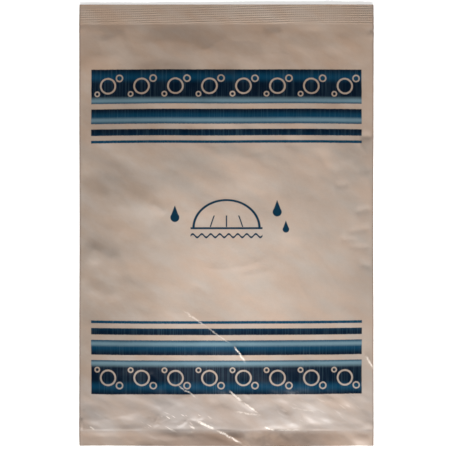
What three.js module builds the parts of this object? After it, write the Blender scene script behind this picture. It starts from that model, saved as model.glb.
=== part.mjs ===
// A sealed flat film sachet with a folded disposable shower cap inside it.
//
// Millimetres, +Z up. The sachet lies on its back film on the plane z = 0, with
// its printed front film up, its ribbed crimp at +Y and its bottom weld at -Y.
// The origin is under the middle of the sachet.
//
// The sachet is a lay-flat tube: front and back wall, a plain fold down each
// side, one weld line with two loose lips below it, and a ribbed crimp at the
// top that was closed after filling. It is opened by tearing the top strip off
// along TEAR_Y, and the folded cap is then drawn out through the mouth.

import * as THREE from 'three';

// ---------------------------------------------------------------- dimensions
const SACHET_W = 100; // between the side folds
const SACHET_L = 150; // crimp edge to lip edge
const FILM_T = 0.35; // film wall
const GAP = 0.3; // clearance between touching pieces

const Z_RIM = 1.2; // underside of the back film along the sachet's edges
const PILLOW_H = 6.0; // rise of the front film from its edges to its middle
const PILLOW_NX = 4.5; // fullness of the pillow across
const PILLOW_NY = 6.5; // fullness of the pillow along
const BACK_FLAT_X = 40; // half width of the flat of the back film
const BACK_FLAT_Y0 = -60; // lower end of that flat
const BACK_FLAT_Y1 = 57.3; // its upper end, at the mouth

const CRIMP_H = 6.8; // height of the ribbed crimp
const RIB_COUNT = 8; // ribs across the crimp
const RIB_A = 0.2; // half height of a rib
const TEAR_Y = 57; // the tear line, below the crimp
const WELD_Y = -69.7; // middle of the bottom weld
const WELD_W = 1.0; // width of the weld bead

const CAP_HALF_W = 39.5; // folded cap, half width at its side bends
const CAP_Y0 = -50.5; // lower end of the folded crown
const CAP_Y1 = 52; // centre of the crown's cross fold
const LEAF_T = 0.3; // one leaf of the folded crown, two plies of film
const LEAF_PITCH = 0.6; // leaf to leaf
const LEAF_COUNT = 3; // leaves in each half of the letter fold

const HEM_HALF_L = 35.5; // half length of a folded hem run
const HEM_DEPTH = 2.7; // a hem tunnel, front to back
const HEM_PITCH = 3.0; // hem run to hem run
const HEM_H = 3.0; // a hem tunnel, height
const HEM_WALL = 0.3;
const ELASTIC_D = 0.9; // elastic thread
const ELASTIC_RISE = 1.2; // between the two threads in one tunnel
const ELASTIC_END = 36.4; // where the thread starts to turn back

// ------------------------------------------------------------ derived levels
const HALF_W = SACHET_W / 2;
const Y_TOP = SACHET_L / 2;
const Y_BOT = -SACHET_L / 2;
const CRIMP_Y0 = Y_TOP - CRIMP_H;
const Z_BACK_IN = Z_RIM + FILM_T; // inside of the back film at the edges
const Z_FRONT_IN = Z_BACK_IN + GAP; // inside of the front film at the edges
const Z_FRONT = Z_FRONT_IN + FILM_T; // outside of the front film at the edges
const WELD_TOP = WELD_Y + WELD_W / 2;
const WELD_BOT = WELD_Y - WELD_W / 2;
const Z_CAP = FILM_T + GAP; // underside of the folded cap

// ------------------------------------------------------------------- helpers
const clamp01 = (t) => Math.min(1, Math.max(0, t));
const smooth = (t) => {
  const c = clamp01(t);
  return c * c * (3 - 2 * c);
};

/** n + 1 values from a to b, closer together at both ends when pull > 0. */
function spread(a, b, n, pull = 0) {
  return Array.from({ length: n + 1 }, (_, i) => {
    const t = i / n;
    const eased = 0.5 - 0.5 * Math.cos(Math.PI * t);
    return a + (b - a) * (t + (eased - t) * pull);
  });
}

/** Underside of the back film: flat in the middle, lifting to the edges. */
function backUnder(x, y) {
  const sx = smooth((Math.abs(x) - BACK_FLAT_X) / (HALF_W - BACK_FLAT_X));
  const low = smooth((BACK_FLAT_Y0 - y) / (BACK_FLAT_Y0 - WELD_TOP - GAP));
  const high = smooth((y - BACK_FLAT_Y1) / (CRIMP_Y0 - GAP - BACK_FLAT_Y1));
  return Z_RIM * (1 - (1 - sx) * (1 - low) * (1 - high));
}

/** Outside of the front film: a full, flat-topped pillow. */
function frontOver(x, y) {
  const y0 = WELD_TOP + GAP;
  const u = Math.abs(x) / HALF_W;
  const v = Math.abs(y - (CRIMP_Y0 + y0) / 2) / ((CRIMP_Y0 - y0) / 2);
  return (
    Z_FRONT +
    PILLOW_H *
      (1 - Math.min(1, u) ** PILLOW_NX) *
      (1 - Math.min(1, v) ** PILLOW_NY)
  );
}

/** A closed film wall over the grid xs by ys, between two height functions. */
function filmWall(xs, ys, under, over) {
  const nx = xs.length - 1;
  const ny = ys.length - 1;
  const g = new THREE.BoxGeometry(1, 1, 1, nx, ny, 1);
  const p = g.attributes.position;
  for (let i = 0; i < p.count; i++) {
    const x = xs[Math.round((p.getX(i) + 0.5) * nx)];
    const y = ys[Math.round((p.getY(i) + 0.5) * ny)];
    p.setXYZ(i, x, y, p.getZ(i) > 0 ? over(x, y) : under(x, y));
  }
  g.computeVertexNormals();
  return g;
}

/** A closed solid through equal rings of points, with flat end caps. */
function loftRings(rings, profile) {
  const n = profile.length;
  const pos = rings.flat().flatMap((v) => [v.x, v.y, v.z]);
  const idx = [];
  for (let s = 0; s < rings.length - 1; s++) {
    for (let i = 0; i < n; i++) {
      const a = s * n + i;
      const b = s * n + ((i + 1) % n);
      idx.push(a, b + n, b, a, a + n, b + n);
    }
  }
  const last = (rings.length - 1) * n;
  for (const [a, b, c] of THREE.ShapeUtils.triangulateShape(profile, [])) {
    idx.push(a, b, c);
    idx.push(last + a, last + c, last + b);
  }
  const g = new THREE.BufferGeometry();
  g.setAttribute('position', new THREE.Float32BufferAttribute(pos, 3));
  g.setIndex(idx);
  g.computeVertexNormals();
  return g;
}

/** A closed loop of round cord along points. */
function cordLoop(points, radius, sides) {
  const ref = new THREE.Vector3(0, 0.6, 0.8);
  const pos = [];
  const idx = [];
  const count = points.length;
  points.forEach((pt, k) => {
    const tan = points[(k + 1) % count]
      .clone()
      .sub(points[(k + count - 1) % count])
      .normalize();
    const a = ref.clone().addScaledVector(tan, -ref.dot(tan)).normalize();
    const b = tan.clone().cross(a);
    for (let i = 0; i < sides; i++) {
      const th = (2 * Math.PI * i) / sides;
      const q = pt
        .clone()
        .addScaledVector(a, radius * Math.cos(th))
        .addScaledVector(b, radius * Math.sin(th));
      pos.push(q.x, q.y, q.z);
    }
  });
  for (let k = 0; k < count; k++) {
    for (let i = 0; i < sides; i++) {
      const j = (i + 1) % sides;
      const a = k * sides + i;
      const b = k * sides + j;
      const c = ((k + 1) % count) * sides + j;
      const d = ((k + 1) % count) * sides + i;
      idx.push(a, b, c, a, c, d);
    }
  }
  const g = new THREE.BufferGeometry();
  g.setAttribute('position', new THREE.Float32BufferAttribute(pos, 3));
  g.setIndex(idx);
  g.computeVertexNormals();
  return g;
}

function part(name, geometry, color, roughness) {
  const mesh = new THREE.Mesh(
    geometry,
    new THREE.MeshStandardMaterial({ color, roughness, metalness: 0 }),
  );
  mesh.name = name;
  return mesh;
}

const FILM = 0xccb9ab; // pearly milky film
const FILM_SHADE = 0xa89384;
const CAP_FILM = 0xe8ecec; // clear, slightly frosted film
const ELASTIC = 0xf1efe9;

// ------------------------------------------------------------ sachet, opened
const sachet = new THREE.Group();
const bodyYs = spread(WELD_TOP + GAP, TEAR_Y - GAP / 2, 22, 0.75);

sachet.add(
  part(
    'front_film',
    filmWall(
      spread(-HALF_W, HALF_W, 18, 0.75),
      bodyYs,
      (x, y) => frontOver(x, y) - FILM_T,
      frontOver,
    ),
    FILM,
    0.36,
  ),
);

const backXs = [
  ...spread(-HALF_W, -BACK_FLAT_X, 4),
  ...spread(BACK_FLAT_X, HALF_W, 4),
];
sachet.add(
  part(
    'back_film',
    filmWall(
      backXs,
      [
        ...spread(WELD_TOP + GAP, BACK_FLAT_Y0, 4),
        TEAR_Y - GAP / 2,
      ],
      backUnder,
      (x, y) => backUnder(x, y) + FILM_T,
    ),
    FILM,
    0.36,
  ),
);

const weld = new THREE.BoxGeometry(SACHET_W, WELD_W, Z_FRONT - Z_RIM);
const weldMesh = part('bottom_weld', weld, 0xf2e8df, 0.3);
weldMesh.position.set(0, WELD_Y, (Z_FRONT + Z_RIM) / 2);
sachet.add(weldMesh);

// the two loose lips of film below the weld
const lipL = WELD_BOT - GAP - Y_BOT;
const lipY = (WELD_BOT - GAP + Y_BOT) / 2;
const backLip = part(
  'back_lip',
  new THREE.BoxGeometry(SACHET_W, lipL, FILM_T),
  FILM_SHADE,
  0.36,
);
backLip.position.set(0, lipY, Z_RIM + FILM_T / 2);
sachet.add(backLip);

const frontLip = part(
  'front_lip',
  new THREE.BoxGeometry(SACHET_W, lipL, FILM_T),
  FILM_SHADE,
  0.36,
);
frontLip.position.set(0, lipY, Z_FRONT - FILM_T / 2);

// ------------------------------------------------------------ tear-off strip
const strip = new THREE.Group();
strip.add(
  part(
    'strip_front_film',
    filmWall(
      spread(-HALF_W, HALF_W, 18, 0.75),
      spread(TEAR_Y + GAP / 2, CRIMP_Y0 - GAP, 6),
      (x, y) => frontOver(x, y) - FILM_T,
      frontOver,
    ),
    FILM,
    0.36,
  ),
  part(
    'strip_back_film',
    filmWall(
      backXs,
      spread(TEAR_Y + GAP / 2, CRIMP_Y0 - GAP, 4),
      backUnder,
      (x, y) => backUnder(x, y) + FILM_T,
    ),
    FILM,
    0.36,
  ),
);

const ribYs = spread(CRIMP_Y0, Y_TOP, RIB_COUNT * 2);
const rib = (y) =>
  Math.round(((y - CRIMP_Y0) / CRIMP_H) * RIB_COUNT * 2) % 2 ? RIB_A : -RIB_A;
for (const [name, z] of [
  ['crimp_front_ply', Z_FRONT_IN],
  ['crimp_back_ply', Z_RIM],
]) {
  strip.add(
    part(
      name,
      filmWall(
        [-HALF_W, HALF_W],
        ribYs,
        (x, y) => z + rib(y),
        (x, y) => z + FILM_T + rib(y),
      ),
      FILM_SHADE,
      0.32,
    ),
  );
}

// ---------------------------------------------------------------- folded cap
const cap = new THREE.Group();

// Outline of the letter fold, seen along the sachet: LEAF_COUNT leaves joined
// by round bends at alternate sides.
const bendR = LEAF_PITCH / 2;
const bendX = CAP_HALF_W - bendR - LEAF_T / 2;
const line = [];
for (let k = 0; k < LEAF_COUNT; k++) {
  const dir = k % 2 ? -1 : 1;
  const n = (k - (LEAF_COUNT - 1) / 2) * LEAF_PITCH;
  line.push({ x: -dir * bendX, n, nx: 0, nn: dir });
  line.push({ x: dir * bendX, n, nx: 0, nn: dir });
  if (k === LEAF_COUNT - 1) break;
  for (let s = 1; s < 6; s++) {
    const a = -Math.PI / 2 + (Math.PI * s) / 6;
    line.push({
      x: dir * (bendX + bendR * Math.cos(a)),
      n: n + bendR + bendR * Math.sin(a),
      nx: -dir * Math.cos(a),
      nn: -Math.sin(a),
      bend: dir,
    });
  }
}
// the normal points to the left of travel; a bend to the left keeps it inside
for (const q of line) {
  if (q.bend === -1) {
    q.nx = -q.nx;
    q.nn = -q.nn;
  }
}
const leafHalf = LEAF_T / 2;
const outline = [
  ...line.map((q) => new THREE.Vector2(q.x - q.nx * leafHalf, q.n - q.nn * leafHalf)),
  ...line
    .slice()
    .reverse()
    .map((q) => new THREE.Vector2(q.x + q.nx * leafHalf, q.n + q.nn * leafHalf)),
];

// The letter-folded crown is folded across once more, over a bend at CAP_Y1.
const stackH = (LEAF_COUNT - 1) * LEAF_PITCH + LEAF_T;
const foldR = (stackH + LEAF_PITCH - LEAF_T) / 2;
const zLow = Z_CAP + stackH / 2;
const stations = [{ y: CAP_Y0, z: zLow, a: 0 }];
for (let s = 0; s <= 8; s++) {
  const a = (Math.PI * s) / 8;
  stations.push({
    y: CAP_Y1 + foldR * Math.sin(a),
    z: zLow + foldR - foldR * Math.cos(a),
    a,
  });
}
stations.push({ y: CAP_Y0, z: zLow + 2 * foldR, a: Math.PI });
const rings = stations.map(({ y, z, a }) =>
  outline.map(
    (q) =>
      new THREE.Vector3(q.x, y - q.y * Math.sin(a), z + q.y * Math.cos(a)),
  ),
);
cap.add(part('crown_film', loftRings(rings, outline), CAP_FILM, 0.4));

// The gathered hem lies in three runs at the lower end, each a tunnel along X.
const hemY = (k) => CAP_Y0 - 0.4 - HEM_DEPTH / 2 - k * HEM_PITCH;
for (let k = 0; k < 3; k++) {
  const shape = new THREE.Shape();
  const hx = HEM_DEPTH / 2;
  const hy = HEM_H / 2;
  const c = 0.5;
  shape.moveTo(-hx + c, -hy);
  shape.lineTo(hx - c, -hy);
  shape.lineTo(hx, -hy + c);
  shape.lineTo(hx, hy - c);
  shape.lineTo(hx - c, hy);
  shape.lineTo(-hx + c, hy);
  shape.lineTo(-hx, hy - c);
  shape.lineTo(-hx, -hy + c);
  const ix = hx - HEM_WALL;
  const iy = hy - HEM_WALL;
  const tunnel = new THREE.Path();
  tunnel.moveTo(-ix, -iy);
  tunnel.lineTo(-ix, iy);
  tunnel.lineTo(ix, iy);
  tunnel.lineTo(ix, -iy);
  shape.holes.push(tunnel);
  const hem = part(
    `hem_run_${k + 1}`,
    new THREE.ExtrudeGeometry(shape, {
      depth: 2 * HEM_HALF_L,
      bevelEnabled: false,
    }),
    CAP_FILM,
    0.45,
  );
  // section x to row Y, section y to row Z, length along X
  hem.setRotationFromMatrix(
    new THREE.Matrix4().makeBasis(
      new THREE.Vector3(0, 1, 0),
      new THREE.Vector3(0, 0, 1),
      new THREE.Vector3(1, 0, 0),
    ),
  );
  hem.position.set(-HEM_HALF_L, hemY(k), Z_CAP + HEM_H / 2);
  cap.add(hem);
}

// One endless elastic thread: out and back through the three tunnels on the
// upper level, and out and back again on the lower one.
const zUp = Z_CAP + HEM_H / 2 + ELASTIC_RISE / 2;
const zDown = zUp - ELASTIC_RISE;
const E = ELASTIC_END;
const thread = [];
const turn = (cx, cy, cz, side, from, to) => {
  // a half turn about the middle, bulging towards side * X
  for (let s = 0; s <= 6; s++) {
    const a = (Math.PI * s) / 6;
    const w = Math.cos(a);
    thread.push(
      new THREE.Vector3(
        cx + side * Math.sin(a) * Math.hypot(from[0] - to[0], from[1] - to[1]) * 0.5,
        cy + (w * (from[0] - to[0])) / 2,
        cz + (w * (from[1] - to[1])) / 2,
      ),
    );
  }
};
const between = (side, ya, za, yb, zb) =>
  turn(side * E, (ya + yb) / 2, (za + zb) / 2, side, [ya, za], [yb, zb]);
between(1, hemY(0), zUp, hemY(1), zUp);
between(-1, hemY(1), zUp, hemY(2), zUp);
between(1, hemY(2), zUp, hemY(2), zDown);
between(-1, hemY(2), zDown, hemY(1), zDown);
between(1, hemY(1), zDown, hemY(0), zDown);
between(-1, hemY(0), zDown, hemY(0), zUp);
cap.add(part('elastic_loop', cordLoop(thread, ELASTIC_D / 2, 6), ELASTIC, 0.6));

// ------------------------------------------------------------------ assembly
const model = new THREE.Group();
model.name = 'shower_cap_sachet';
model.add(sachet, frontLip, strip, cap);

export default model;
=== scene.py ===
"""A sealed film sachet with a folded shower cap inside, lying on a pale floor.

The film is a lay-flat tube. Its shape is simulated here: two inextensible film
walls, joined along the side folds, held flat by the crimp and the bottom weld,
resting on the folded cap. All film lengths below are in millimetres, and the
meshes are made in metres.
"""

import bpy
import numpy as np
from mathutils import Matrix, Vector


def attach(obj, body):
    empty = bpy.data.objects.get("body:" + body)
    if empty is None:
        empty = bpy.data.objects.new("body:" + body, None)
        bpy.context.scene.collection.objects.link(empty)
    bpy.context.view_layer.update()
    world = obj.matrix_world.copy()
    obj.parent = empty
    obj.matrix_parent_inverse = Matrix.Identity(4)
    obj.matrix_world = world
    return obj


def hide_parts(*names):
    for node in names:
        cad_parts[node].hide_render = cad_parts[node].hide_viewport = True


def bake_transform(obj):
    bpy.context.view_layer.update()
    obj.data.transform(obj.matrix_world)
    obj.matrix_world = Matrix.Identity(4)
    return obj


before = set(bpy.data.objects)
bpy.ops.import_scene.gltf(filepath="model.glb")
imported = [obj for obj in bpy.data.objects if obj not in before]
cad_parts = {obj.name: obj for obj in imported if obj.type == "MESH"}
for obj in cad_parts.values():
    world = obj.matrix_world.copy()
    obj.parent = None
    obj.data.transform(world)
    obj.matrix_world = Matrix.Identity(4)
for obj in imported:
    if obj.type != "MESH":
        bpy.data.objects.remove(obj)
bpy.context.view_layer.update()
MM = 0.001

# --------------------------------------------------------------- film layout
W, L = 100.0, 150.0
NX = 136  # columns of film cells
ROWS = [(0, -75.0), (8, -69.7), (180, 57.0), (196, 68.2), (204, 75.0)]
NY = 204
R_WELD, R_TEAR, R_CRIMP = 8, 180, 196
R_LIP = 7.4  # where the front lip starts, just below the weld
FILM_T = 0.05  # film thickness
SLACK = 1.008  # how much longer the film is than the sachet lies
WELD_Z = 1.98


def lattice_noise(x, y, cell, seed):
    """Smooth value noise on a seeded lattice, about -1 to 1."""
    grid = np.random.default_rng(seed).uniform(-1, 1, (96, 96))
    x, y = np.broadcast_arrays(np.asarray(x, float), np.asarray(y, float))
    gx, gy = x / cell + 40.0, y / cell + 40.0
    ix, iy = np.floor(gx).astype(int), np.floor(gy).astype(int)
    fx, fy = gx - ix, gy - iy
    fx = fx**3 * (fx * (fx * 6 - 15) + 10)
    fy = fy**3 * (fy * (fy * 6 - 15) + 10)
    ix, iy = ix % 95, iy % 95
    a = grid[iy, ix] * (1 - fx) + grid[iy, ix + 1] * fx
    b = grid[iy + 1, ix] * (1 - fx) + grid[iy + 1, ix + 1] * fx
    return a * (1 - fy) + b * fy


def smooth(t):
    t = np.clip(t, 0, 1)
    return t * t * (3 - 2 * t)


def flat_grid(step):
    """Flat film coordinates of every step-th row and column."""
    k = np.arange(0, NY + 1, step)
    v = np.interp(k, [r for r, _ in ROWS], [y for _, y in ROWS])
    u = np.linspace(-W / 2, W / 2, NX // step + 1)
    U, V = np.meshgrid(u, v)
    # the tear runs a little unevenly across
    w = 0.9 * lattice_noise(U, 3.0, 17.0, 5) + 0.35 * lattice_noise(U, 9.0, 6.0, 6)
    return U, V + w * np.clip(1 - np.abs(V - 57.0) / 9.0, 0, 1) ** 2


def cap_top(x, y):
    """Height that the folded cap and the air round it hold the front film up to."""
    ex = np.clip(1 - np.abs(x / 50.0) ** 2.8, 0, 1)
    ey = np.clip(1 - np.abs((y + 0.75) / 69.0) ** np.where(y < -0.75, 2.4, 2.1), 0, 1)
    e = ex * ey
    air = 1.2 + np.where(y < 0, 0.85, 0.65) * smooth((np.abs(y + 0.75) - 48.0) / 19.0) + 6.0 * e
    air += 0.50 * lattice_noise(x, y, 26.0, 11) * e
    air += 0.20 * lattice_noise(x, y, 11.0, 12) * e
    return air


def crimp_level(x):
    return 1.80 + 0.18 * np.sin(x / 23.0 + 0.6) + 0.10 * lattice_noise(x, 0.0, 14.0, 51)


def solve_film(quick):
    """Front and back film as an array (2, rows, columns, 3), from coarse to fine.

    Each sweep moves the points on, lets the film settle on the cap, and restores
    every film length, so the film wrinkles where it has length to spare.
    """
    P = None
    plan = ((4, 900), (2, 300), (1, 60)) if quick else ((4, 1500), (2, 900), (1, 420))
    for step, sweeps in plan:
        U, V = flat_grid(step)
        ny, nx = U.shape[0] - 1, U.shape[1] - 1
        rw, rc = R_WELD // step, R_CRIMP // step
        ru, rv = U * SLACK, V * SLACK
        floor = cap_top(U, V)[rw:rc]
        if P is None:
            P = np.zeros((2, ny + 1, nx + 1, 3))
            P[..., 0], P[..., 1] = U, V
            e = (1 - np.abs(U / 50) ** 3) * (1 - np.clip(np.abs(V) / 69, 0, 1) ** 4)
            P[0, ..., 2] = 2.0 + 5.5 * np.clip(e, 0, 1)
            P[1, ..., 2] = 1.6 * (1 - np.clip(e, 0, 1))
        else:
            Q = np.zeros((2, ny + 1, nx + 1, 3))
            Q[:, ::2, ::2] = P
            Q[:, 1::2, ::2] = 0.5 * (Q[:, 0:-1:2, ::2] + Q[:, 2::2, ::2])
            Q[:, :, 1::2] = 0.5 * (Q[:, :, 0:-1:2] + Q[:, :, 2::2])
            P = Q
        jig = 0.05 * step
        P[0, ..., 2] += jig * lattice_noise(U, V, 2.2 * step, 21 + step)
        P[0, ..., 2] += jig * lattice_noise(U, V, 5.0 * step, 31 + step)
        P[1, ..., 2] += 0.3 * jig * lattice_noise(U, V, 3.0 * step, 41 + step)
        prev = P.copy()
        weld_z = WELD_Z + 0.10 * lattice_noise(U[0], 0.0, 12.0, 52)
        hold = np.stack([U, V, crimp_level(U)], -1)[rc:]

        links = {}
        for di, dj in ((0, 1), (1, 0), (1, 1), (1, -1), (0, 2), (2, 0)):
            a = np.s_[0 : ny + 1 - di, max(0, -dj) : nx + 1 - max(0, dj)]
            b = np.s_[di : ny + 1, max(0, dj) : nx + 1 + min(0, dj)]
            links[di, dj] = a, b, np.hypot(ru[b] - ru[a], rv[b] - rv[a])

        def restore(di, dj, k, bending=False):
            """Moves the ends of each link to its own length, in groups that share no point."""
            a, b, rest = links[di, dj]
            ends = P[(slice(None), *a)], P[(slice(None), *b)]
            n = 4 if bending else 2
            for s in range(n):
                g = np.s_[:, s::n] if di == 0 else np.s_[s::n]
                gg = (slice(None), *(g if isinstance(g, tuple) else (g,)))
                A, B = ends[0][gg], ends[1][gg]
                d = B - A
                length = np.sqrt(np.einsum("...k,...k->...", d, d))
                c = (length - rest[g]) / np.maximum(length, 1e-9)
                if bending:
                    c = np.minimum(c, 0)
                d *= (0.5 * k * c)[..., None]
                A += d
                B -= d

        weight = 0.0012 * (step / 4) ** 2
        for _ in range(sweeps):
            move = (P - prev) * 0.90
            prev = P.copy()
            P += move
            P[0, :, :, 2] -= weight
            P[1, :, :, 2] -= weight * 0.5
            restore(0, 1, 1.0)
            restore(1, 0, 1.0)
            restore(1, 1, 0.6)
            restore(1, -1, 0.6)
            restore(0, 2, 0.10, True)
            restore(2, 0, 0.10, True)
            for side in (0, -1):  # the side folds are one film
                P[:, :, side] = 0.5 * (P[0, :, side] + P[1, :, side])
            m = 0.5 * (P[0, rw] + P[1, rw])
            m[:, 1], m[:, 2] = -69.7, weld_z
            P[0, rw], P[1, rw] = m + (0, 0, 0.05), m - (0, 0, 0.05)
            P[0, rc:], P[1, rc:] = hold + (0, 0, 0.05), hold - (0, 0, 0.05)
            P[0, rw:rc, :, 2] = np.maximum(P[0, rw:rc, :, 2], floor)
            P[1, ..., 2] = np.maximum(P[1, ..., 2], 0.06)
            low = P[0, ..., 2] < P[1, ..., 2] + 0.1
            mid = 0.5 * (P[0, ..., 2] + P[1, ..., 2])
            P[0, ..., 2] = np.where(low, mid + 0.05, P[0, ..., 2])
            P[1, ..., 2] = np.where(low, np.maximum(mid - 0.05, 0.06), P[1, ..., 2])
    return P


# ------------------------------------------------------------- handling marks
# Folds pressed into the front film: height, width on either side of the line,
# roundness of the crest, and the line it follows.
FOLDS = [
    # soft diagonal folds under the crimp
    (1.38, 2.2, 5, 1.2, [(-30.1, 60.4), (-20.9, 61.8), (-11.7, 60.4), (-4.9, 58.0), (0.5, 55.7)]),
    (0.77, 1.6, 3, 1, [(-43.7, 61.4), (-38.9, 62.8), (-33.8, 65.2)]),
    (0.67, 1.6, 4, 1, [(-30.1, 51.2), (-20.9, 52.6), (-8.3, 51.2)]),
    (1.22, 2.2, 4, 1, [(-8.7, 47.5), (-1.5, 49.2), (5.6, 50.2)]),
    (0.55, 1.5, 3, 1, [(11.4, 63.8), (19.6, 64.8)]),
    (0.55, 1.5, 3, 1, [(36.2, 62.4), (46.8, 63.5)]),
    (0.46, 1.4, 2.5, 1, [(-48.5, 55.3), (-41.7, 57.0), (-35.5, 56.0)]),
    # folds at the left
    (1.06, 3.5, 6, 1.2, [(-49.8, 13.2), (-39.6, 11.9), (-29.4, 9.2), (-19.9, 4.1)]),
    (0.32, 0.9, 1.5, 0.6, [(-26.0, 7.5), (-22.6, 6.1), (-20.2, 3.4)]),
    (1.28, 2, 4, 0.8, [(-49.1, -7.1), (-43.0, -9.2), (-38.9, -11.2), (-34.2, -9.8)]),
    (-0.42, 1.2, 1.2, 0.8, [(-43.7, -11.2), (-43.4, -16.0), (-42.0, -21.0)]),
    (0.48, 2, 1.6, 0.6, [(-48.8, -18.7), (-44.7, -21.7), (-40.3, -23.4), (-33.5, -22.7)]),
    (0.13, 0.7, 0.7, 0.6, [(-45.7, 13.2), (-45.7, 2.4)]),
    (0.13, 0.7, 0.7, 0.6, [(-40.6, 13.2), (-40.3, 0.3)]),
    # fine lines in the middle
    (0.18, 1.5, 0.7, 0.4, [(-16.2, -27.2), (-9.0, -32.2), (-3.6, -36.7), (1.5, -39.7)]),
    (0.13, 0.8, 0.8, 0.5, [(-0.9, -14.9), (8.0, -13.2), (15.1, -10.5)]),
    (0.12, 0.8, 0.8, 0.5, [(3.9, -17.6), (16.8, -14.6)]),
    (0.13, 0.8, 0.8, 0.5, [(-8.0, -14.3), (2.2, -14.9)]),
    (0.12, 0.8, 0.7, 0.5, [(3.2, 22.1), (12.1, 23.1), (17.5, 25.5)]),
    # short creases from the right fold
    (-0.99, 0.9, 0.9, 0.4, [(44.7, 29.9), (50.5, 29.9)]),
    (0.48, 0.8, 0.8, 0.4, [(42.0, 29.2), (44.7, 27.8), (47.8, 23.4)]),
    (-0.39, 1, 1, 0.5, [(35.9, 12.9), (42.3, 13.9)]),
    (-0.65, 1, 1, 0.5, [(42.7, 4.1), (50.5, 5.8)]),
    (-0.48, 0.9, 0.9, 0.5, [(39.6, -2.4), (50.2, -1.0)]),
    (-0.43, 0.9, 0.9, 0.5, [(37.6, -4.8), (45.1, -5.1)]),
    (-0.43, 0.9, 0.9, 0.5, [(40.0, -7.1), (50.5, -7.8)]),
    (-0.43, 0.9, 0.9, 0.5, [(44.4, -12.9), (50.5, -14.6)]),
    (-0.46, 1.5, 1.5, 0.8, [(30.1, 26.5), (34.5, 19.3), (39.3, 18.7), (43.0, 22.1)]),
    (0.17, 0.7, 0.7, 0.5, [(44.0, 16.6), (50.2, 17.3)]),
    # crisp creases near the bottom
    (0.55, 1.3, 0.55, 0.25, [(0.2, -55.3), (2.6, -58.0), (6.6, -60.8), (11.1, -63.5)]),
    (0.25, 0.8, 0.4, 0.25, [(4.9, -55.7), (8.3, -58.4)]),
    (0.28, 2.5, 1.5, 0.8, [(0.9, -63.1), (8.0, -64.5), (18.2, -66.2), (29.8, -67.2)]),
    (0.19, 2.5, 1.6, 0.8, [(20.2, -61.1), (30.1, -63.1), (41.7, -65.8)]),
    (0.60, 1.2, 0.5, 0.25, [(-11.1, -65.8), (-4.9, -68.9), (0.5, -70.9), (6.3, -74.7)]),
    (0.30, 0.8, 0.4, 0.25, [(11.7, -67.9), (14.8, -69.2), (18.9, -69.9)]),
    (0.38, 0.8, 0.4, 0.25, [(1.2, -39.4), (3.9, -42.1), (7.0, -46.5)]),
    (0.52, 0.8, 0.5, 0.3, [(46.8, -43.1), (48.8, -46.5), (50.5, -49.9)]),
    (0.22, 1, 0.6, 0.4, [(-23.0, -46.8), (-19.9, -50.6), (-17.2, -54.3)]),
    (-0.22, 0.9, 0.9, 0.5, [(-26.4, -49.2), (-21.3, -54.3)]),
    (0.12, 0.8, 0.5, 0.3, [(-19.9, -59.4), (-14.1, -58.0), (-8.3, -56.7)]),
    (0.10, 0.8, 0.5, 0.3, [(-17.2, -62.8), (-10.4, -61.1)]),
    (0.08, 0.7, 0.6, 0.4, [(32.1, -57.7), (42.3, -63.1)]),
    (0.08, 0.7, 0.6, 0.4, [(36.6, -57.0), (48.5, -64.5)]),
    (0.20, 0.9, 0.5, 0.3, [(-22.6, -67.5), (-17.2, -66.2), (-11.1, -67.2)]),
]
SWELLS = [
    (-22.6, 45.1, 10.2, 7.5, 0.75),
    (-33.5, -4.4, 3.1, 2.7, -0.30),
    (23.3, 28.2, 4.4, 4.1, -0.33),
    (36.9, 24.8, 4.1, 3.7, -0.22),
    (-33.5, -66.0, 5.2, 3.0, -0.34),
    (-7.3, -33.9, 11.6, 8.2, 0.38),
    (-43.0, -25.5, 6.8, 6.1, -0.30),
    (38.6, -8.5, 8.2, 10.2, -0.22),
    (14.8, -25.5, 13.6, 10.2, 0.30),
    (-36.2, 25.5, 8.8, 5.4, -0.22),
    (8.0, 15.3, 13.6, 6.8, 0.30),
    (25.0, -54.3, 11.6, 4.8, 0.38),
]


def loose_creases():
    """Faint creases all over, and a crinkled patch next to the weld."""
    rng = np.random.default_rng(17)
    out = []
    for _ in range(80):
        cx, cy = rng.uniform(-46, 46), rng.uniform(-66, 64)
        a = np.radians(rng.normal(-18, 34))
        half = rng.uniform(3, 8)
        bow = rng.uniform(-1, 1)
        dx, dy = np.cos(a) * half, np.sin(a) * half
        out.append(
            (
                rng.choice([-1, 1]) * rng.uniform(0.03, 0.09),
                rng.uniform(0.6, 1.3),
                rng.uniform(0.5, 1.0),
                0.5,
                [(cx - dx, cy - dy), (cx - dy / half * bow, cy + dx / half * bow), (cx + dx, cy + dy)],
            )
        )
    for _ in range(18):
        cx, cy = rng.uniform(-27, -9), rng.uniform(-69.0, -64.5)
        a = np.radians(rng.uniform(-70, 60))
        half = rng.uniform(1.2, 2.6)
        dx, dy = np.cos(a) * half, np.sin(a) * half
        out.append(
            (
                rng.uniform(0.12, 0.28),
                rng.uniform(0.5, 0.9),
                rng.uniform(0.35, 0.5),
                0.3,
                [(cx - dx, cy - dy), (cx + 0.4 * dy, cy - 0.4 * dx), (cx + dx, cy + dy)],
            )
        )
    return out


def spline(pts, n=24):
    """Points along a smooth line through pts."""
    p = np.array(pts, float)
    p = np.concatenate([2 * p[:1] - p[1:2], p, 2 * p[-1:] - p[-2:-1]])
    t = np.linspace(0, len(pts) - 1, n)
    i = np.minimum(t.astype(int), len(pts) - 2)
    f = (t - i)[:, None]
    a, b, c, d = p[i], p[i + 1], p[i + 2], p[i + 3]
    return 0.5 * (2 * b + (c - a) * f + (2 * a - 5 * b + 4 * c - d) * f**2 + (3 * b - a - 3 * c + d) * f**3)


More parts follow.
